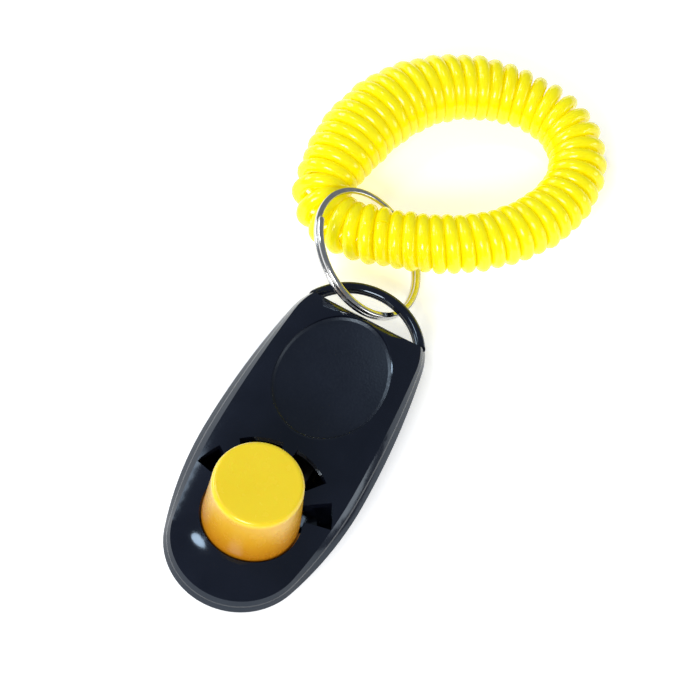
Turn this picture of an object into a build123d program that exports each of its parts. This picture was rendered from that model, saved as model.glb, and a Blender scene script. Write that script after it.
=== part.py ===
"""A button dog-training clicker: a two-part case with a big push button over a spring-steel reed,
and a coiled wristband on a split ring through the case's end loop.

Frame: millimetres, origin on the flat underside in the middle of the case's length and width,
+Z up through the button, +Y along the case towards the end loop.
"""
from build123d import *
import os
from math import asin, atan2, cos, degrees, pi, radians, sin, sqrt, tan

os.makedirs("parts", exist_ok=True)

# ---------------------------------------------------------------- driving dimensions
case_half_width = 14.7        # at the widest section
widest_y = -4.5
button_end_radius = 12.2
button_end_y = -20.4          # centre of the round end under the button
loop_end_radius = 12.5
loop_end_y = 20.1             # centre of the round end at the loop
wall = 1.4

parting_z = 6.0               # where the two shells meet
shoulder_rise = 2.1           # rounded shoulder, from the parting line up to its crease
shoulder_side_depth = 2.0     # how far the crease is in from the outline at the sides
shoulder_end_depth = 1.0      # and at the two round ends
shoulder_bulge = 0.04         # how much its slope is rounded outwards
crown_rise = 2.0              # from the crease up to the crown's nearly flat middle
crown_depth = 8.5             # how far in from the crease the crown levels off
crown_z = parting_z + shoulder_rise + crown_rise
ceiling_depth = 1.4           # the crown's thickness
chord_y = 25.9                # flat end of the shells, beside the loop opening
end_round = 3.4               # rounded top edge of that end

floor_thickness = 1.5
foot_draft = 27.0             # degrees, the lower shell narrows down to its foot
foot_round = 0.6

bar_radius = 1.0              # round bar of the end loop
bar_z = 6.6
rib_low_z = 4.6               # the ribs on the end wall that carry the bar

lip_height = 0.6              # tongue that centres the shells on each other
lip_thickness = 0.6
lip_gap = 0.1
lip_steps = [
    (wall - 0.3, parting_z - 1, parting_z),
    (wall + lip_gap, parting_z, parting_z + lip_height),
]

button_y = -16.5
button_top_z = 22.0
button_top_radius = 7.45
button_neck_radius = 8.1      # where the button enters the case
button_neck_z = 9.8
button_edge_round = 0.8
button_wall = 1.5
button_hole_radius = 8.5
button_travel = 2.0
flange_radius = 9.1
flange_top_z = 7.35
flange_bottom_z = 6.4
flange_gap = 0.1
collar_radius = 10.3
plunger_radius = 2.2
plunger_gap = 0.1             # left above the flattened reed when the button is fully down
tab_span = (38, 48)           # flange tabs between the sound slots, degrees from the long axis
rear_flange_start = 76

dish_y = 12.1
dish_half_width = 9.4
dish_half_length = 12.0
dish_depth = 1.8
dish_floor_radius = 60.0
dish_backing_z = 6.9
dish_backing_margin = 1.2

slot_arc_y = -15.5            # centre of the sound slots' outer arc
slot_outer_radius = 12.9
slot_spans = [(5, 36), (50, 69)]

chamber_inner_radius = 9.7
chamber_outer_radius = 11.1
chamber_top_z = 5.9

reed_width = 9.0
reed_thickness = 0.4
reed_seat_z = 3.6
reed_root_y = 6.4
reed_bend_y = -1.2
reed_tip_y = -20.4
reed_rise = 1.9               # how far the free end springs up at the plunger
reed_screw_y = 2.6
reed_screw_radius = 0.9
reed_screw_head_radius = 1.7
reed_screw_head_height = 1.0
reed_screw_end_z = 1.9

screw_places = [(0, -27.35), (-6.6, 17.5), (6.6, 17.5)]
screw_radius = 0.8
screw_end_z = 6.7
screw_head_radius = 1.5
screw_head_low_z = 0.35
screw_seat_z = 1.55
recess_radius = 1.75
pilot_gap = 0.02
boss_radius = 1.55
boss_top_z = 7.8
post_radius = 2.4
post_top_z = 3.4
cross_width = 0.5             # cross recess in the screw heads
cross_length = 1.9
cross_depth = 0.7

ring_centre = Vector(-5.67, 36.95, 7.87)
ring_normal = Vector(0.521, 0.273, 0.809)
ring_radius = 11.4
ring_end = Vector(-9.43, -2.0, 6.4)    # towards the free end of the upper turn
ring_wire_radial = 1.1
ring_wire_axial = 0.78
ring_pitch = 0.84
ring_turns = 1.72

band_radius = 5.3             # outer radius of the coiled cord
band_route = [                # centre of the closed coil, lifted where it lies on the ring
    (-12.7, 40.2, 5.4), (-4.0, 41.7, 7.2), (4.7, 44.5, 8.4),
    (11.9, 49.6, 8.5), (17.2, 57.0, 8.1), (19.4, 65.4, 7.5),
    (17.5, 73.3, 6.8), (11.5, 78.4, 6.3), (3.3, 79.0, 5.8),
    (-4.8, 76.9, 5.6), (-12.0, 72.6, 5.4), (-17.2, 66.2, 5.4),
    (-19.6, 58.4, 5.4), (-20.2, 50.2, 5.4), (-18.5, 43.2, 5.4),
]


def side_radius(end_radius, distance, half_width):
    """Radius of the side arc that is tangent at the widest section and to an end's arc."""
    return (half_width**2 + distance**2 - end_radius**2) / (2 * (half_width - end_radius))


def outline_half(side_inset, end_inset):
    """Points of the right half: tip, end arc, tangent, side arc, widest, and the same upwards."""
    half = case_half_width - side_inset
    ends = [
        (button_end_radius - end_inset, button_end_y, -1),
        (loop_end_radius - end_inset, loop_end_y, 1),
    ]
    rows = []
    for radius, centre_y, way in ends:
        distance = abs(centre_y - widest_y)
        big = side_radius(radius, distance, half)
        side_x = half - big
        lean = atan2(distance, -side_x)
        steep = (lean + pi / 2) / 2
        tip = (0, centre_y + way * radius)
        end_mid = (radius * cos(steep), centre_y + way * radius * sin(steep))
        tangent = (radius * cos(lean), centre_y + way * radius * sin(lean))
        side_mid = (side_x + big * cos(lean / 2), widest_y + way * big * sin(lean / 2))
        rows.append([tip, end_mid, tangent, side_mid])
    return rows[0] + [(half, widest_y)] + rows[1][::-1]


def case_outline(side_inset, end_inset, height):
    """Closed outline of the case, pulled in at its sides and ends, at the given height."""
    p = outline_half(side_inset, end_inset)
    with BuildSketch(Plane.XY.offset(height)) as outline:
        with BuildLine():
            ThreePointArc(p[0], p[1], p[2])
            ThreePointArc(p[2], p[3], p[4])
            ThreePointArc(p[4], p[5], p[6])
            ThreePointArc(p[6], p[7], p[8])
            mirror(about=Plane.YZ)
        make_face()
    return outline.sketch


def lofted(sections):
    """A solid through case outlines, each given as (side inset, end inset, height)."""
    with BuildPart() as block:
        for side_inset, end_inset, height in sections:
            add(case_outline(side_inset, end_inset, height))
        loft()
    return block.part


def shoulder_sections():
    """From the parting line, leaning in more and more, up to the crease."""
    sections = []
    for level in (0, 0.35, 0.7, 1):
        lean = level - shoulder_bulge * sin(pi * level)
        height = parting_z + shoulder_rise * level
        sections.append((shoulder_side_depth * lean, shoulder_end_depth * lean, height))
    return sections


def crown_sections(side_start, end_start, low_z, rise, depth):
    """From a crease up a curve that levels off in the middle of the case."""
    sections = []
    for level in (0, 0.2, 0.45, 0.7, 1):
        height = low_z + rise * (1 - (1 - level) ** 2)
        sections.append((side_start + depth * level, end_start + depth * level, height))
    return sections


def wedge(start, end, reach):
    """Corners of a pie slice about the button's centre, degrees from the long axis."""
    low, high = radians(start), radians(end)
    return [(0, 0), (reach * sin(low), reach * cos(low)), (reach * sin(high), reach * cos(high))]


crease_z = parting_z + shoulder_rise
end_round_y = chord_y - end_round
end_round_z = crown_z - end_round
with BuildPart() as end_trim:
    with BuildSketch(Plane.YZ.offset(-case_half_width)):
        with Locations((chord_y, crown_z)):
            Rectangle(2 * end_round, 2 * end_round)
        with Locations((end_round_y, end_round_z)):
            Circle(end_round, mode=Mode.SUBTRACT)
        with Locations((end_round_y, crown_z)):
            Rectangle(2 * end_round, 4 * end_round, align=(Align.MAX, Align.CENTER), mode=Mode.SUBTRACT)
    extrude(amount=2 * case_half_width)
case_top = lofted(shoulder_sections()) + lofted(
    crown_sections(shoulder_side_depth, shoulder_end_depth, crease_z, crown_rise, crown_depth)
)
case_top = case_top - end_trim.part

inside_of_walls = extrude(case_outline(wall, wall, 0), parting_z)

# ---------------------------------------------------------------- upper shell
dish_floor_z = crown_z - dish_depth
with BuildPart() as dish_tool:
    with BuildSketch(Plane.XY.offset(dish_floor_z - 1)):
        with Locations((0, dish_y)):
            Ellipse(dish_half_width, dish_half_length)
    extrude(amount=dish_depth + 3)
    with Locations((0, dish_y, dish_floor_z + dish_floor_radius)):
        Sphere(dish_floor_radius, rotation=(90, 0, 0), mode=Mode.INTERSECT)

step_z = parting_z + lip_height + 0.2
ceiling_edge_z = step_z + 0.4
with BuildPart() as cavity:
    add(case_outline(wall, wall, parting_z))
    extrude(amount=step_z - parting_z)
    add(lofted([(wall, wall, step_z), (wall + 2, wall + 1, ceiling_edge_z)]))
    ceiling_rise = crown_z - ceiling_depth - ceiling_edge_z
    add(lofted(crown_sections(wall + 2, wall + 1, ceiling_edge_z, ceiling_rise, crown_depth - 1)))
    with Locations((0, chord_y - wall + 20, parting_z)):
        Box(60, 40, 40, mode=Mode.SUBTRACT)

with BuildPart() as inner_features:
    with BuildSketch(Plane.XY.offset(dish_backing_z)):
        with Locations((0, dish_y)):
            Ellipse(dish_half_width + dish_backing_margin, dish_half_length + dish_backing_margin)
    extrude(amount=crown_z - dish_backing_z)
    with BuildSketch(Plane.XY.offset(flange_top_z + flange_gap)):
        with Locations((0, button_y)):
            Circle(collar_radius)
    extrude(amount=crown_z - flange_top_z)
    with BuildSketch(Plane.XY.offset(post_top_z + 0.05)):
        with Locations(*screw_places):
            Circle(boss_radius)
    extrude(amount=boss_top_z - post_top_z)
    add(case_top + inside_of_walls, mode=Mode.INTERSECT)

with BuildPart() as upper_shell:
    add(case_top)
    add(cavity.part, mode=Mode.SUBTRACT)
    add(inner_features.part)
    add(dish_tool.part, mode=Mode.SUBTRACT)
    with BuildSketch(Plane.XY.offset(post_top_z)):
        with Locations(*screw_places):
            Circle(screw_radius + pilot_gap)
    extrude(amount=screw_end_z + 0.1 - post_top_z, mode=Mode.SUBTRACT)
    with Locations((0, button_y, crown_z)):
        Cylinder(button_hole_radius, 12, mode=Mode.SUBTRACT)
    for start, end in slot_spans:
        for side in (1, -1):
            with BuildSketch(Plane.XY.offset(parting_z + 0.6)):
                with Locations((0, button_y)):
                    Polygon(*wedge(side * start, side * end, 30), align=None)
                with Locations((0, slot_arc_y)):
                    Circle(slot_outer_radius, mode=Mode.INTERSECT)
            extrude(amount=8, mode=Mode.SUBTRACT)
    with Locations((0, chord_y + 20, parting_z)):
        Box(60, 40, 40, mode=Mode.SUBTRACT)

# ---------------------------------------------------------------- lower shell
with BuildPart() as hull:
    add(case_outline(0, 0, parting_z))
    extrude(amount=-parting_z, taper=foot_draft)

with BuildPart() as lower_space:
    add(case_outline(wall, wall, parting_z))
    extrude(amount=floor_thickness - parting_z, taper=foot_draft)
    with Locations((0, chord_y - wall + 20, parting_z)):
        Box(60, 40, 40, mode=Mode.SUBTRACT)

floor_inside = floor_thickness - 0.3
with BuildPart() as lower_features:
    # sound chamber wall under the button, open towards the reed's root
    with BuildSketch(Plane.XY.offset(floor_inside)):
        with Locations((0, button_y)):
            Circle(chamber_outer_radius)
            Circle(chamber_inner_radius, mode=Mode.SUBTRACT)
        with Locations((0, button_y + chamber_outer_radius)):
            Rectangle(reed_width + 2, 8, mode=Mode.SUBTRACT)
    extrude(amount=chamber_top_z - floor_inside)
    # screw posts and the reed's seat
    with BuildSketch(Plane.XY.offset(floor_inside)):
        with Locations(*screw_places):
            Circle(post_radius)
    extrude(amount=post_top_z - floor_inside)
    with BuildSketch(Plane.XY.offset(floor_inside)):
        with Locations((0, (reed_root_y + reed_bend_y) / 2)):
            Rectangle(reed_width + 1, reed_root_y - reed_bend_y + 0.6)
    extrude(amount=reed_seat_z - floor_inside)
    add(hull.part, mode=Mode.INTERSECT)

bar_path_radius = loop_end_radius - bar_radius
bar_root_x = sqrt(bar_path_radius**2 - (chord_y - loop_end_y) ** 2)
with BuildPart() as lower_shell:
    add(hull.part)
    fillet(lower_shell.edges().group_by(Axis.Z)[0], foot_round)
    add(lower_space.part, mode=Mode.SUBTRACT)
    with Locations((0, chord_y + 20, parting_z)):
        Box(60, 40, 40, mode=Mode.SUBTRACT)
    add(lower_features.part)
    # holes for the case screws and the reed screw
    with Locations(*[(x, y, 0) for x, y in screw_places]):
        Cylinder(recess_radius, 2 * screw_seat_z, mode=Mode.SUBTRACT)
        Cylinder(screw_radius + 0.15, 20, mode=Mode.SUBTRACT)
    with Locations((0, reed_screw_y, (reed_screw_end_z - 0.1 + reed_seat_z) / 2)):
        reed_hole_depth = reed_seat_z - reed_screw_end_z + 0.1
        Cylinder(reed_screw_radius + pilot_gap, reed_hole_depth, mode=Mode.SUBTRACT)
    # centring lip, standing on a ledge inside the wall
    lip_inner = wall + lip_gap + lip_thickness
    for lip_outer, low_z, high_z in lip_steps:
        with BuildSketch(Plane.XY.offset(low_z)):
            add(case_outline(lip_outer, lip_outer, 0))
            add(case_outline(lip_inner, lip_inner, 0), mode=Mode.SUBTRACT)
            with Locations((0, chord_y - wall - 0.3 + 20)):
                Rectangle(60, 40, mode=Mode.SUBTRACT)
        extrude(amount=high_z - low_z)
    with BuildSketch(Plane.XY.offset(post_top_z)):
        with Locations(*screw_places):
            Circle(boss_radius + lip_gap)
    extrude(amount=parting_z, mode=Mode.SUBTRACT)
    # end loop: a round bar on two ribs of the end wall
    with BuildLine(Plane.XY.offset(bar_z)) as bar_path:
        CenterArc(
            (0, loop_end_y),
            bar_path_radius,
            degrees(asin((chord_y - loop_end_y) / bar_path_radius)),
            180 - 2 * degrees(asin((chord_y - loop_end_y) / bar_path_radius)),
        )
    with BuildSketch(Plane(origin=bar_path.line @ 0, z_dir=bar_path.line % 0)):
        Circle(bar_radius)
    sweep(path=bar_path.line)
    with Locations((0, chord_y - wall / 2, parting_z + 2)):
        Box(60, wall, 4, mode=Mode.SUBTRACT)

    with BuildSketch(Plane.XY.offset(rib_low_z)):
        with Locations((-bar_root_x, chord_y), (bar_root_x, chord_y)):
            Circle(bar_radius)
    extrude(amount=parting_z - rib_low_z)
    with BuildSketch(Plane.XY.offset(parting_z)):
        with Locations((-bar_root_x, chord_y), (bar_root_x, chord_y)):
            Circle(bar_radius)
        with Locations((0, chord_y - 20)):
            Rectangle(60, 40, mode=Mode.SUBTRACT)
    extrude(amount=bar_z - parting_z)

# ---------------------------------------------------------------- button
plunger_z = reed_seat_z + reed_thickness + button_travel + plunger_gap
with BuildPart() as button:
    with BuildSketch(Plane.XZ.offset(-button_y)):
        with BuildLine():
            roof_z = button_top_z - button_wall
            bore = button_neck_radius - button_wall
            Polyline(
                (0, button_top_z),
                (button_top_radius, button_top_z),
                (button_neck_radius, button_neck_z),
                (button_neck_radius, flange_bottom_z),
                (bore, flange_bottom_z),
                (bore - 0.5, roof_z),
                (0, roof_z),
                (0, button_top_z),
            )
        make_face()
    revolve(axis=Axis((0, button_y, 0), (0, 0, 1)))
    fillet(button.edges().group_by(Axis.Z)[-1], button_edge_round)
    with Locations((0, button_y, (roof_z + plunger_z) / 2 + 0.1)):
        Cylinder(plunger_radius, roof_z - plunger_z + 0.2)
    fillet(button.edges().group_by(Axis.Z)[0], 0.9)
    with BuildSketch(Plane.XY.offset(flange_bottom_z)):
        with Locations((0, button_y)):
            spans = [(rear_flange_start, 180), tab_span]
            for start, end in spans:
                for side in (1, -1):
                    middle = (start + end) / 2
                    Polygon(*wedge(side * start, side * middle, 30), align=None)
                    Polygon(*wedge(side * middle, side * end, 30), align=None)
            Circle(flange_radius, mode=Mode.INTERSECT)
            Circle(button_neck_radius - 0.5, mode=Mode.SUBTRACT)
    extrude(amount=flange_top_z - flange_bottom_z)

# ---------------------------------------------------------------- reed and its screw
reed_slope = reed_rise / (reed_bend_y - button_y)
reed_tip_z = reed_seat_z + reed_slope * (reed_bend_y - reed_tip_y)
with BuildPart() as reed:
    with BuildSketch(Plane.YZ.offset(-reed_width / 2)):
        with BuildLine():
            Polyline(
                (reed_root_y, reed_seat_z),
                (reed_bend_y, reed_seat_z),
                (reed_tip_y, reed_tip_z),
                (reed_tip_y, reed_tip_z + reed_thickness),
                (reed_bend_y, reed_seat_z + reed_thickness),
                (reed_root_y, reed_seat_z + reed_thickness),
                (reed_root_y, reed_seat_z),
            )
        make_face()
    extrude(amount=reed_width)
    fillet(reed.edges().filter_by(Axis.Z), 1.2)
    with Locations((0, reed_screw_y, reed_seat_z)):
        Cylinder(reed_screw_radius + 0.1, 2, mode=Mode.SUBTRACT)


def screw(head_radius, head_low, head_high, shank_radius, end_z, up):
    """A pan-head screw on the Z axis; up is 1 when its head faces up, -1 when it faces down."""
    with BuildPart() as body:
        with Locations((0, 0, (head_low + head_high) / 2)):
            Cylinder(head_radius, head_high - head_low)
        outer = body.edges().group_by(Axis.Z)[-1 if up > 0 else 0]
        fillet(outer, 0.35)
        under = head_low if up > 0 else head_high
        with Locations((0, 0, (under + end_z) / 2)):
            Cylinder(shank_radius, abs(under - end_z))
        chamfer(body.edges().group_by(Axis.Z)[0 if up > 0 else -1], 0.3)
        face_z = head_high if up > 0 else head_low
        with Locations((0, 0, face_z)):
            Box(cross_width, cross_length, 2 * cross_depth, mode=Mode.SUBTRACT)
            Box(cross_length, cross_width, 2 * cross_depth, mode=Mode.SUBTRACT)
    return body.part


reed_top_z = reed_seat_z + reed_thickness
with BuildPart() as reed_screw:
    with Locations((0, reed_screw_y)):
        add(
            screw(
                reed_screw_head_radius,
                reed_top_z,
                reed_top_z + reed_screw_head_height,
                reed_screw_radius,
                reed_screw_end_z,
                1,
            )
        )

with BuildPart() as case_screws:
    with Locations(*screw_places):
        add(screw(screw_head_radius, screw_head_low_z, screw_seat_z, screw_radius, screw_end_z, -1))

# ---------------------------------------------------------------- split ring
coil_height = ring_pitch * ring_turns
with BuildPart() as flat_ring:
    with BuildLine() as turns:
        Helix(ring_pitch, coil_height, ring_radius, lefthand=True)
    with BuildSketch(Plane(origin=turns.line @ 0, x_dir=(1, 0, 0), z_dir=turns.line % 0)):
        RectangleRounded(ring_wire_radial, ring_wire_axial, 0.2)
    sweep(path=turns.line, is_frenet=True)

axis_dir = ring_normal.normalized()
free_end = ring_end - axis_dir * ring_end.dot(axis_dir)
ring_plane = Plane(
    origin=ring_centre - axis_dir * coil_height / 2,
    x_dir=free_end.rotate(Axis((0, 0, 0), axis_dir), 360 * (ring_turns % 1)),
    z_dir=axis_dir,
)
with BuildPart() as split_ring:
    add(flat_ring.part.moved(ring_plane.location))

# ---------------------------------------------------------------- coiled wristband


def corner_radii(points):
    """Largest tangent arcs that the runs allow, 0.45 of the shorter run at each corner."""
    radii = []
    for i, point in enumerate(points):
        before = Vector(*points[i - 1])
        here = Vector(*point)
        after = Vector(*points[(i + 1) % len(points)])
        shorter = min((here - before).length, (after - here).length)
        turn = radians((here - before).get_angle(after - here))
        radii.append(0.45 * shorter / tan(turn / 2))
    return radii


band_radii = corner_radii(band_route)
print("wristband arc radii", [round(r, 1) for r in band_radii])
with BuildPart() as wristband:
    with BuildLine() as band_path:
        FilletPolyline(*band_route, radius=band_radii, close=True)
    # swept in two halves, which meet face to face at both ends
    runs = band_path.wire().edges()
    half_count = len(runs) // 2
    for half in (Wire(runs[:half_count]), Wire(runs[half_count:])):
        with BuildSketch(Plane(origin=half @ 0, z_dir=half % 0)):
            Circle(band_radius)
        sweep(path=half)
tube_volume = pi * band_radius**2 * band_path.wire().length
print("wristband length", band_path.wire().length, "volume", wristband.part.volume, tube_volume)

pieces = {
    "upper_shell": upper_shell,
    "lower_shell": lower_shell,
    "button": button,
    "reed": reed,
    "reed_screw": reed_screw,
    "case_screws": case_screws,
    "split_ring": split_ring,
    "wristband": wristband,
}
for name, piece in pieces.items():
    print(name, round(piece.part.volume, 1), [round(s.volume, 1) for s in piece.part.solids()])
    piece.part.label = name
    export_step(piece.part, "parts/" + name + ".step")
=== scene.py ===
import math
from bisect import bisect_right

import bmesh
import bpy
from mathutils import Matrix, Vector


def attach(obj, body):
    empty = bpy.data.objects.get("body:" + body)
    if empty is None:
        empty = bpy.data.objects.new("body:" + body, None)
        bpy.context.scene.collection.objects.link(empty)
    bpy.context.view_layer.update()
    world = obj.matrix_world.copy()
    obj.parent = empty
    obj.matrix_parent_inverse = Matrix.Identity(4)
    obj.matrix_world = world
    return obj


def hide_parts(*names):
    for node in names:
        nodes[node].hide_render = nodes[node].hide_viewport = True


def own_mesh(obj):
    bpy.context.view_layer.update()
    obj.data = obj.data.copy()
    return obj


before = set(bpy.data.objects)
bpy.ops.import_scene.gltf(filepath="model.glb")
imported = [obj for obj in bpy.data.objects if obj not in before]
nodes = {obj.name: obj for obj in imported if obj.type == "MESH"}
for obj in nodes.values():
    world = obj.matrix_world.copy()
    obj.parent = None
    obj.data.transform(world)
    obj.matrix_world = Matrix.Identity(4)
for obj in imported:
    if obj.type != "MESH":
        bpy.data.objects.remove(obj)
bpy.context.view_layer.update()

scene = bpy.context.scene

# ------------------------------------------------------------------ camera
AZIMUTH, ELEVATION, ROLL = (math.radians(v) for v in (14.17, 62.5, 14.5))
DISTANCE = 0.6
AIM = Vector((-0.00168, 0.0032, 0.0))
AIM_LEFT, AIM_BELOW = 0.0161, 0.025     # how far AIM is off the view's middle, per metre of distance
SENSOR, LENS = 36, 185.14
side = Vector((math.cos(AZIMUTH), math.sin(AZIMUTH), 0))
forward = Vector((-math.sin(AZIMUTH) * math.cos(ELEVATION), math.cos(AZIMUTH) * math.cos(ELEVATION),
                  -math.sin(ELEVATION)))
upright = side.cross(forward)
right = math.cos(ROLL) * side + math.sin(ROLL) * upright
up = math.cos(ROLL) * upright - math.sin(ROLL) * side
camera_data = bpy.data.cameras.new("camera")
camera_data.sensor_width = SENSOR
camera_data.lens = LENS
camera_data.clip_start = 0.01
camera_data.clip_end = 20
camera = bpy.data.objects.new("camera", camera_data)
scene.collection.objects.link(camera)
ahead = forward - AIM_LEFT * right - AIM_BELOW * up
camera.matrix_world = Matrix.Translation(AIM - DISTANCE * ahead) @ Matrix(
    (right, up, -forward)).transposed().to_4x4()
scene.camera = camera

# ------------------------------------------------------------------ the coiled wristband
BAND_ROUTE = [
    (-0.0127, 0.0402, 0.0054), (-0.0040, 0.0417, 0.0072), (0.0047, 0.0445, 0.0084),
    (0.0119, 0.0496, 0.0085), (0.0172, 0.0570, 0.0081), (0.0194, 0.0654, 0.0075),
    (0.0177, 0.0733, 0.0068), (0.0118, 0.0784, 0.0066), (0.0035, 0.0790, 0.0064),
    (-0.0044, 0.0768, 0.0067), (-0.0110, 0.0721, 0.0069), (-0.0157, 0.0654, 0.0070),
    (-0.0180, 0.0578, 0.0069), (-0.0188, 0.0500, 0.0065), (-0.0184, 0.0432, 0.0055),
]
BAND_RADIUS = 0.0053                    # outer radius of the CAD tube that the coil replaces
CORD_RADIUS = 0.00125
SKIN = 0.00005                          # the coil is this far inside the tube, except where it swells
COIL_RADIUS = BAND_RADIUS - CORD_RADIUS - SKIN
COIL_TURNS = 50
POINTS_PER_TURN = 20
RING_PASS = 0.0035                      # distance along the route where the coil's ends meet, at the ring
SPREAD_STEPS = 360
TURN_PITCH = 0.0024                     # the two pitches only share out the turns: this where straight
TIGHT_PITCH = 0.0021                    # and this along its inner side, where it bends
MAX_BEND = 60                           # curvature, per metre, above which the turns spread no further
FRAME_REACH = 0.0015                    # the middle line's direction is taken over this much on each side
BEND_REACH = 0.002                      # and its curvature between points this far on each side,
BEND_STEP = 0.0015                      # averaged over places this far apart
SWELL = 0.36                            # how much fuller the coil is on its left and far side
SWELL_X, SWELL_X_REACH = 0.004, 0.02    # it grows leftwards from here over this distance
SWELL_Y, SWELL_Y_REACH = 0.046, 0.010   # and away from the case from here over this distance


def object_from(name, data):
    obj = bpy.data.objects.new(name, data)
    scene.collection.objects.link(obj)
    return obj


def mesh_of(curve_data):
    helper = object_from("curve_helper", curve_data)
    bpy.context.view_layer.update()
    mesh = bpy.data.meshes.new_from_object(helper.evaluated_get(bpy.context.evaluated_depsgraph_get()))
    bpy.data.objects.remove(helper)
    return mesh


def line_of(curve_data):
    """Points along a curve that has no bevel."""
    mesh = mesh_of(curve_data)
    points = [v.co.copy() for v in mesh.vertices]
    bpy.data.meshes.remove(mesh)
    return points


def finished(name, bm, material):
    """The object that a bmesh makes, with its faces turned outwards."""
    bmesh.ops.recalc_face_normals(bm, faces=bm.faces[:])
    mesh = bpy.data.meshes.new(name)
    bm.to_mesh(mesh)
    bm.free()
    mesh.materials.append(material)
    return object_from(name, mesh)


def nurbs(name, points, closed=False):
    data = bpy.data.curves.new(name, "CURVE")
    data.dimensions = "3D"
    spline = data.splines.new("NURBS")
    spline.points.add(len(points) - 1)
    for place, point in zip(spline.points, points):
        place.co = (*point, 1)
    spline.order_u = 3
    spline.use_cyclic_u = closed
    spline.use_endpoint_u = not closed
    return data


def step_of(marks, value):
    """The step of a rising list that a value falls in, and its share of that step."""
    low = bisect_right(marks, value, 1, len(marks) - 1) - 1
    return low, (value - marks[low]) / (marks[low + 1] - marks[low])


route_data = nurbs("wristband_route", BAND_ROUTE, closed=True)
route_data.splines[0].resolution_u = 24
route = line_of(route_data)
route_at = [0.0]
for point, after in zip(route, route[1:] + route[:1]):
    route_at.append(route_at[-1] + (after - point).length)
band_length = route_at[-1]


def route_point(distance):
    low, share = step_of(route_at, distance % band_length)
    return route[low].lerp(route[(low + 1) % len(route)], share)


def route_frame(distance):
    """Place, direction, inward normal and upward normal of the coil's middle line."""
    before, here, after = (route_point(distance + d) for d in (-FRAME_REACH, 0, FRAME_REACH))
    tangent = (after - before).normalized()
    upward = (Vector((0, 0, 1)) - tangent * tangent.z).normalized()
    return here, tangent, upward.cross(tangent), upward


def bend(distance):
    """Curvature of the middle line, averaged over a few turns."""
    total = 0
    places = [distance + k * BEND_STEP for k in range(-4, 5)]
    for place in places:
        start = route_frame(place - BEND_REACH)[1]
        end = route_frame(place + BEND_REACH)[1]
        total += start.angle(end) / (2 * BEND_REACH)
    return total / len(places)


# turns open out where the coil bends tightly and its inner sides touch
spread = []
for i in range(SPREAD_STEPS):
    curvature = min(bend(band_length * (i + 0.5) / SPREAD_STEPS), MAX_BEND)
    spread.append(1 / max(TURN_PITCH, TIGHT_PITCH / (1 - COIL_RADIUS * curvature)))
whole = sum(spread)
turn_at = [0.0]
for value in spread:
    turn_at.append(turn_at[-1] + COIL_TURNS * value / whole)


def distance_at(turn):
    low, share = step_of(turn_at, turn)
    return band_length * (low + share) / SPREAD_STEPS


def swell(place):
    """The coil's radius at a place, as a multiple of COIL_RADIUS."""
    left = min(max((SWELL_X - place.x) / SWELL_X_REACH, 0), 1)
    far = min(max((place.y - SWELL_Y) / SWELL_Y_REACH, 0), 1)
    return 1 + SWELL * left * far


helix = []
for i in range(COIL_TURNS * POINTS_PER_TURN + 1):
    turn = min(i / POINTS_PER_TURN, COIL_TURNS - 1e-6)
    here, tangent, inward, upward = route_frame(distance_at(turn) + RING_PASS)
    angle = 2 * math.pi * i / POINTS_PER_TURN
    # no two turns are quite the same size
    wander = 1 - 0.02 * (1 + math.sin(turn * 2.4)) - 0.01 * (1 + math.sin(turn * 0.83 + 1))
    outward = math.cos(angle) * upward - math.sin(angle) * inward
    helix.append(here + COIL_RADIUS * wander * swell(here) * outward)
coil_data = nurbs("wristband_coil", helix)
coil_data.splines[0].resolution_u = 2
helix_line = line_of(coil_data)
coil_data.bevel_depth = CORD_RADIUS
coil_data.bevel_resolution = 5
coil_data.use_fill_caps = True
coil_mesh = mesh_of(coil_data)
coil_mesh.polygons.foreach_set("use_smooth", [True] * len(coil_mesh.polygons))
coil = object_from("coiled_cord", coil_mesh)
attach(coil, "wristband")
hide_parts("wristband")


# ------------------------------------------------------------------ materials
class Nodes:
    """A material under construction: add nodes and join their sockets."""

    def __init__(self, name, **shader):
        self.material = bpy.data.materials.new(name)
        self.material.use_nodes = True
        self.tree = self.material.node_tree
        self.shader = self.tree.nodes["Principled BSDF"]
        for socket, value in shader.items():
            self.shader.inputs[socket.replace("_", " ")].default_value = value
        self.place = self.add("ShaderNodeTexCoord").outputs["Object"]

    def add(self, kind, settings=(), **values):
        node = self.tree.nodes.new(kind)
        for name, value in dict(settings).items():
            setattr(node, name, value)
        for socket, value in values.items():
            self.feed(node.inputs[socket.replace("_", " ")], value)
        return node

    def feed(self, socket, value):
        if isinstance(value, bpy.types.NodeSocket):
            self.tree.links.new(value, socket)
        else:
            socket.default_value = value

    def noise(self, scale, detail=3, stretch=(1, 1, 1)):
        mapping = self.add("ShaderNodeMapping", Vector=self.place, Scale=stretch)
        return self.add("ShaderNodeTexNoise", Vector=mapping.outputs[0], Scale=scale,
                        Detail=detail).outputs["Fac"]

    def maths(self, operation, *values):
        node = self.add("ShaderNodeMath", {"operation": operation})
        for socket, value in zip(node.inputs, values):
            self.feed(socket, value)
        return node.outputs[0]

    def spread(self, fac, low, high, start=0.3, end=0.7):
        node = self.add("ShaderNodeMapRange", Value=fac, From_Min=start, From_Max=end, To_Min=low,
                        To_Max=high)
        return node.outputs[0]

    def mix(self, fac, first, second):
        node = self.add("ShaderNodeMix", {"data_type": "RGBA"})
        self.feed(node.inputs[0], fac)
        self.feed(node.inputs[6], first)
        self.feed(node.inputs[7], second)
        return node.outputs[2]

    def bump(self, height, distance, strength=1.0, normal=None):
        node = self.add("ShaderNodeBump", Strength=strength, Distance=distance, Height=height)
        if normal is not None:
            self.feed(node.inputs["Normal"], normal)
        return node.outputs[0]

    def set(self, **inputs):
        for socket, value in inputs.items():
            self.feed(self.shader.inputs[socket.replace("_", " ")], value)
        return self.material


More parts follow.
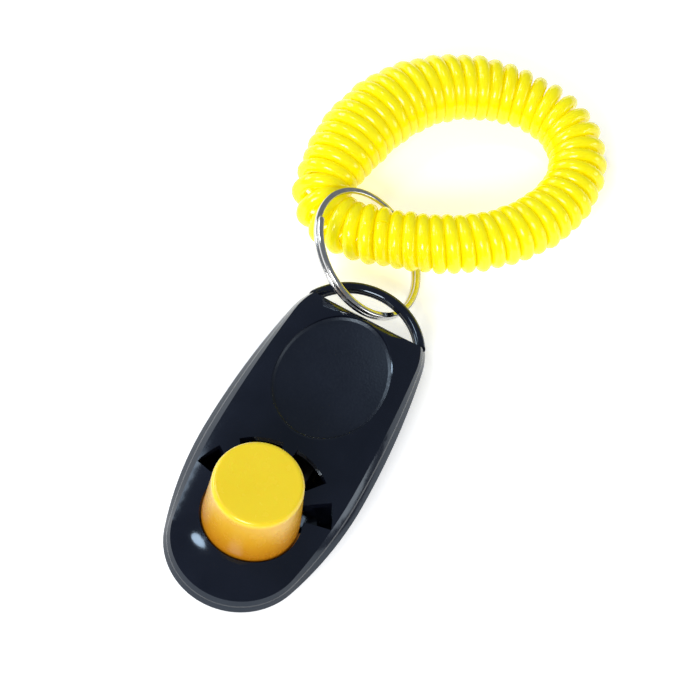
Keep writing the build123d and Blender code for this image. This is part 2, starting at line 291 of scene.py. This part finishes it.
def black_plastic():
    dish_y, dish_half_width, dish_half_length = 0.0121, 0.0094, 0.0120
    n = Nodes("black_abs", IOR=1.5, Specular_Tint=(0.72, 0.86, 1.0, 1))
    speck = n.noise(2600, 2)
    cloud = n.noise(140, 4)
    # the dish is spark-eroded satin with a soft raised rim, the rest is polished
    apart = n.add("ShaderNodeSeparateXYZ", Vector=n.place)
    across = n.maths("DIVIDE", apart.outputs[0], dish_half_width)
    along_dish = n.maths("DIVIDE", n.maths("SUBTRACT", apart.outputs[1], dish_y), dish_half_length)
    radius = n.maths("ADD", n.maths("POWER", n.maths("ABSOLUTE", across), 2.0),
                     n.maths("POWER", n.maths("ABSOLUTE", along_dish), 2.0))
    inside = n.spread(radius, 1, 0, 0.985, 1.0)
    high = n.spread(apart.outputs[2], 0, 1, 0.0075, 0.0077)
    dish = n.maths("MULTIPLY", inside, high)
    gloss = n.spread(cloud, 0.07, 0.13)
    satin = n.spread(speck, 0.30, 0.42)
    rough = n.add("ShaderNodeMix", {"data_type": "FLOAT"})
    n.feed(rough.inputs[0], dish)
    n.feed(rough.inputs[2], gloss)
    n.feed(rough.inputs[3], satin)
    colour = n.mix(n.spread(cloud, 0, 1), (0.0035, 0.0045, 0.010, 1), (0.006, 0.0075, 0.015, 1))
    grain = n.maths("MULTIPLY", speck, n.maths("ADD", dish, 0.04))
    rim = n.maths("MULTIPLY", n.spread(radius, 0, 1, 0.90, 1.04),
                  n.spread(apart.outputs[2], 0, 1, 0.0070, 0.0072))
    normal = n.bump(rim, 0.0005, 0.8, n.bump(n.noise(60, 2), 0.00006, 0.25))
    normal = n.bump(grain, 0.00004, 0.5, normal)
    return n.set(Base_Color=colour, Roughness=rough.outputs[0], Normal=normal)


def yellow_plastic():
    n = Nodes("yellow_abs", IOR=1.5, Subsurface_Weight=0.15, Subsurface_Scale=0.002,
              Subsurface_Radius=(1.0, 0.5, 0.1))
    cloud = n.noise(110, 4)
    height = n.add("ShaderNodeSeparateXYZ", Vector=n.place).outputs[2]
    top = n.mix(n.spread(cloud, 0, 1), (0.93, 0.67, 0.020, 1), (0.97, 0.71, 0.026, 1))
    # painted shade: the side wall is coloured darker and redder than the top, and darker still towards the
    # bottom, as if shaded
    painted_shade_wall = n.mix(n.spread(height, 0, 1, 0.009, 0.019), (0.58, 0.20, 0.006, 1), (0.76, 0.42, 0.014, 1))
    colour = n.mix(n.spread(height, 0, 1, 0.0205, 0.0218), painted_shade_wall, top)
    normal = n.bump(n.noise(1800, 2), 0.000012, 0.25, n.bump(n.noise(90, 2), 0.00004, 0.2))
    return n.set(Base_Color=colour, Roughness=n.spread(n.noise(500, 3), 0.20, 0.30), Normal=normal)


def coil_plastic():
    # a little emission stands for the light that the real cord lets through
    n = Nodes("yellow_tpu", IOR=1.48, Subsurface_Weight=0.8, Subsurface_Scale=0.004,
              Subsurface_Radius=(1.0, 0.9, 0.08), Emission_Color=(1.0, 0.80, 0.0, 1), Emission_Strength=0.13)
    cloud = n.noise(70, 3)
    colour = n.mix(n.spread(cloud, 0, 1), (0.92, 0.77, 0.002, 1), (0.98, 0.85, 0.004, 1))
    normal = n.bump(n.noise(420, 3), 0.00005, 0.3)
    return n.set(Base_Color=colour, Roughness=n.spread(n.noise(300, 2), 0.10, 0.2), Normal=normal)


def steel(name, colour, smoothest, roughest, stretch, bump):
    n = Nodes(name, Metallic=1.0)
    lines = n.noise(900, 4, stretch)
    tint = n.mix(n.spread(n.noise(150, 3), 0, 1), colour, [0.86 * c for c in colour[:3]] + [1])
    return n.set(Base_Color=tint, Roughness=n.spread(lines, smoothest, roughest),
                 Normal=n.bump(lines, 0.00003, bump))


black = black_plastic()
yellow = yellow_plastic()
tpu = coil_plastic()
nickel = steel("nickel", (0.66, 0.65, 0.63, 1), 0.10, 0.22, (1, 1, 1), 0.012)
spring = steel("spring_steel", (0.50, 0.50, 0.49, 1), 0.25, 0.4, (1, 0.04, 1), 0.4)
zinc = steel("zinc_plate", (0.52, 0.54, 0.58, 1), 0.3, 0.45, (1, 1, 1), 0.3)
for name, material in (("upper_shell", black), ("lower_shell", black), ("button", yellow),
                       ("reed_screw", zinc), ("case_screws", zinc)):
    for place in nodes[name].material_slots:
        place.material = material
coil_mesh.materials.append(tpu)

# ------------------------------------------------------------------ the split ring, two turns of flat wire
RING_CENTRE = Vector((-0.00567, 0.03695, 0.00787))
RING_AXIS = Vector((0.521, 0.273, 0.809)).normalized()
RING_END = Vector((-9.43, -2.0, 6.4))      # from the centre towards the wire's free end
RING_RADIUS, RING_PITCH, RING_TURNS = 0.0114, 0.00084, 1.72
WIRE_RADIAL, WIRE_AXIAL, WIRE_CORNER = 0.00108, 0.00076, 0.00025
CORNER_STEPS = 4
RING_STEPS = 620
END_SIZE, END_SHARE = 0.80, 1 / 90          # the wire's ends are rounded down to this size over this share
free_end = (RING_END - RING_AXIS * RING_END.dot(RING_AXIS)).normalized()
across_end = RING_AXIS.cross(free_end)
section = []
for corner_x, corner_y, first in ((1, 1, 0), (-1, 1, 90), (-1, -1, 180), (1, -1, 270)):
    for step in range(CORNER_STEPS + 1):
        angle = math.radians(first + 90 / CORNER_STEPS * step)
        section.append(((WIRE_RADIAL / 2 - WIRE_CORNER) * corner_x + WIRE_CORNER * math.cos(angle),
                        (WIRE_AXIAL / 2 - WIRE_CORNER) * corner_y + WIRE_CORNER * math.sin(angle)))
ring_bm = bmesh.new()
loops = []
for i in range(RING_STEPS + 1):
    share = i / RING_STEPS
    turned = 2 * math.pi * RING_TURNS * (1 - share)
    outward = free_end * math.cos(turned) + across_end * math.sin(turned)
    middle = RING_CENTRE + RING_RADIUS * outward + RING_AXIS * RING_PITCH * RING_TURNS * (share - 0.5)
    ease = min(1, min(share, 1 - share) / END_SHARE)
    size = END_SIZE + (1 - END_SIZE) * math.sqrt(1 - (1 - ease) ** 2)
    loops.append([ring_bm.verts.new(middle + size * (a * outward + b * RING_AXIS)) for a, b in section])
for near, far in zip(loops, loops[1:]):
    for j in range(len(section)):
        k = (j + 1) % len(section)
        ring_bm.faces.new((near[j], near[k], far[k], far[j])).smooth = True
for end in (loops[0][::-1], loops[-1]):
    ring_bm.faces.new(end)
ring = finished("flat_wire_ring", ring_bm, nickel)
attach(ring, "ring")
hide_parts("split_ring")

# ------------------------------------------------------------------ the reed, with its click dimple
REED_SEAT, REED_THICK = 0.0036, 0.0004
REED_ROOT, REED_BEND, REED_TIP = 0.0064, -0.0012, -0.0204
REED_RISE, PLUNGER_Y = 0.0019, -0.0165      # the reed rises from its bend to the plunger
REED_SLOPE = REED_RISE / (REED_BEND - PLUNGER_Y)
REED_HALF_WIDTH, REED_CORNER, REED_SKIN = 0.0045, 0.0012, 0.00003
DIMPLE_Y, DIMPLE_RADIUS, DIMPLE_HEIGHT = -0.0110, 0.0028, 0.00035
HOLE_Y, HOLE_RADIUS = 0.0026, 0.0010
ROWS, COLUMNS = 120, 40
reed_bm = bmesh.new()
grid = []
for i in range(ROWS + 1):
    y = REED_ROOT + (REED_TIP - REED_ROOT) * i / ROWS
    row = []
    for j in range(COLUMNS + 1):
        edge = min(i, ROWS - i) * (REED_ROOT - REED_TIP) / ROWS
        half_width = REED_HALF_WIDTH - max(0, REED_CORNER - edge) ** 2 / (2 * REED_CORNER)
        x = half_width * (2 * j / COLUMNS - 1)
        z = REED_SEAT + REED_SKIN + max(0, REED_BEND - y) * REED_SLOPE
        away = math.hypot(x, y - DIMPLE_Y) / DIMPLE_RADIUS
        z += DIMPLE_HEIGHT * max(0, 1 - away * away) ** 2
        row.append(reed_bm.verts.new((x, y, z)))
    grid.append(row)
for i in range(ROWS):
    for j in range(COLUMNS):
        corner = grid[i][j].co
        if math.hypot(corner.x, corner.y - HOLE_Y) > HOLE_RADIUS:
            face = reed_bm.faces.new((grid[i][j], grid[i][j + 1], grid[i + 1][j + 1], grid[i + 1][j]))
            face.smooth = True
sheet = bmesh.ops.extrude_face_region(reed_bm, geom=reed_bm.faces[:])
for item in sheet["geom"]:
    if isinstance(item, bmesh.types.BMVert):
        item.co.z += REED_THICK - 2 * REED_SKIN
reed = finished("dimpled_reed", reed_bm, spring)
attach(reed, "case")
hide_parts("reed")
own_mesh(reed)

# ------------------------------------------------------------------ floor and light
FLOOR_HALF, FLOOR_Z = 3.0, -0.0002
floor_mesh = bpy.data.meshes.new("floor")
floor_corners = ((-1, -1), (1, -1), (1, 1), (-1, 1))
floor_mesh.from_pydata([(FLOOR_HALF * x, FLOOR_HALF * y, FLOOR_Z) for x, y in floor_corners], [],
                       [(0, 1, 2, 3)])
floor = object_from("floor", floor_mesh)
pale = Nodes("pale_floor", Roughness=0.9, Emission_Color=(1, 1, 1, 1), Emission_Strength=0.45)
floor_mesh.materials.append(pale.set(Base_Color=(0.93, 0.93, 0.93, 1)))

world = bpy.data.worlds.new("studio")
world.use_nodes = True
sky = world.node_tree.nodes["Background"]
sky.inputs["Color"].default_value = (0.80, 0.88, 1.0, 1)
sky.inputs["Strength"].default_value = 0.26
scene.world = world

LIT_POINT = Vector((0, 0.02, 0))


def softbox(name, place, width, height, power, colour=(1, 1, 1), shape="RECTANGLE"):
    data = bpy.data.lights.new(name, "AREA")
    data.shape = shape
    data.size, data.size_y = width, height
    data.energy = power
    data.color = colour
    light = object_from(name, data)
    light.location = place
    light.rotation_euler = (LIT_POINT - Vector(place)).to_track_quat("-Z", "Y").to_euler()


softbox("front_box", (0.05, -1.15, 1.02), 0.6, 0.5, 17)
softbox("window_box", (-0.46, 0.10, 0.90), 0.12, 0.24, 1.2, (0.80, 0.90, 1.0), "ELLIPSE")
softbox("left_box", (-1.3, 0.1, 0.60), 0.9, 0.5, 9, (0.86, 0.93, 1.0))
softbox("right_box", (1.3, 0.3, 0.34), 0.9, 0.4, 4)

scene.view_settings.view_transform = "Standard"
scene.view_settings.look = "None"

bpy.context.view_layer.update()
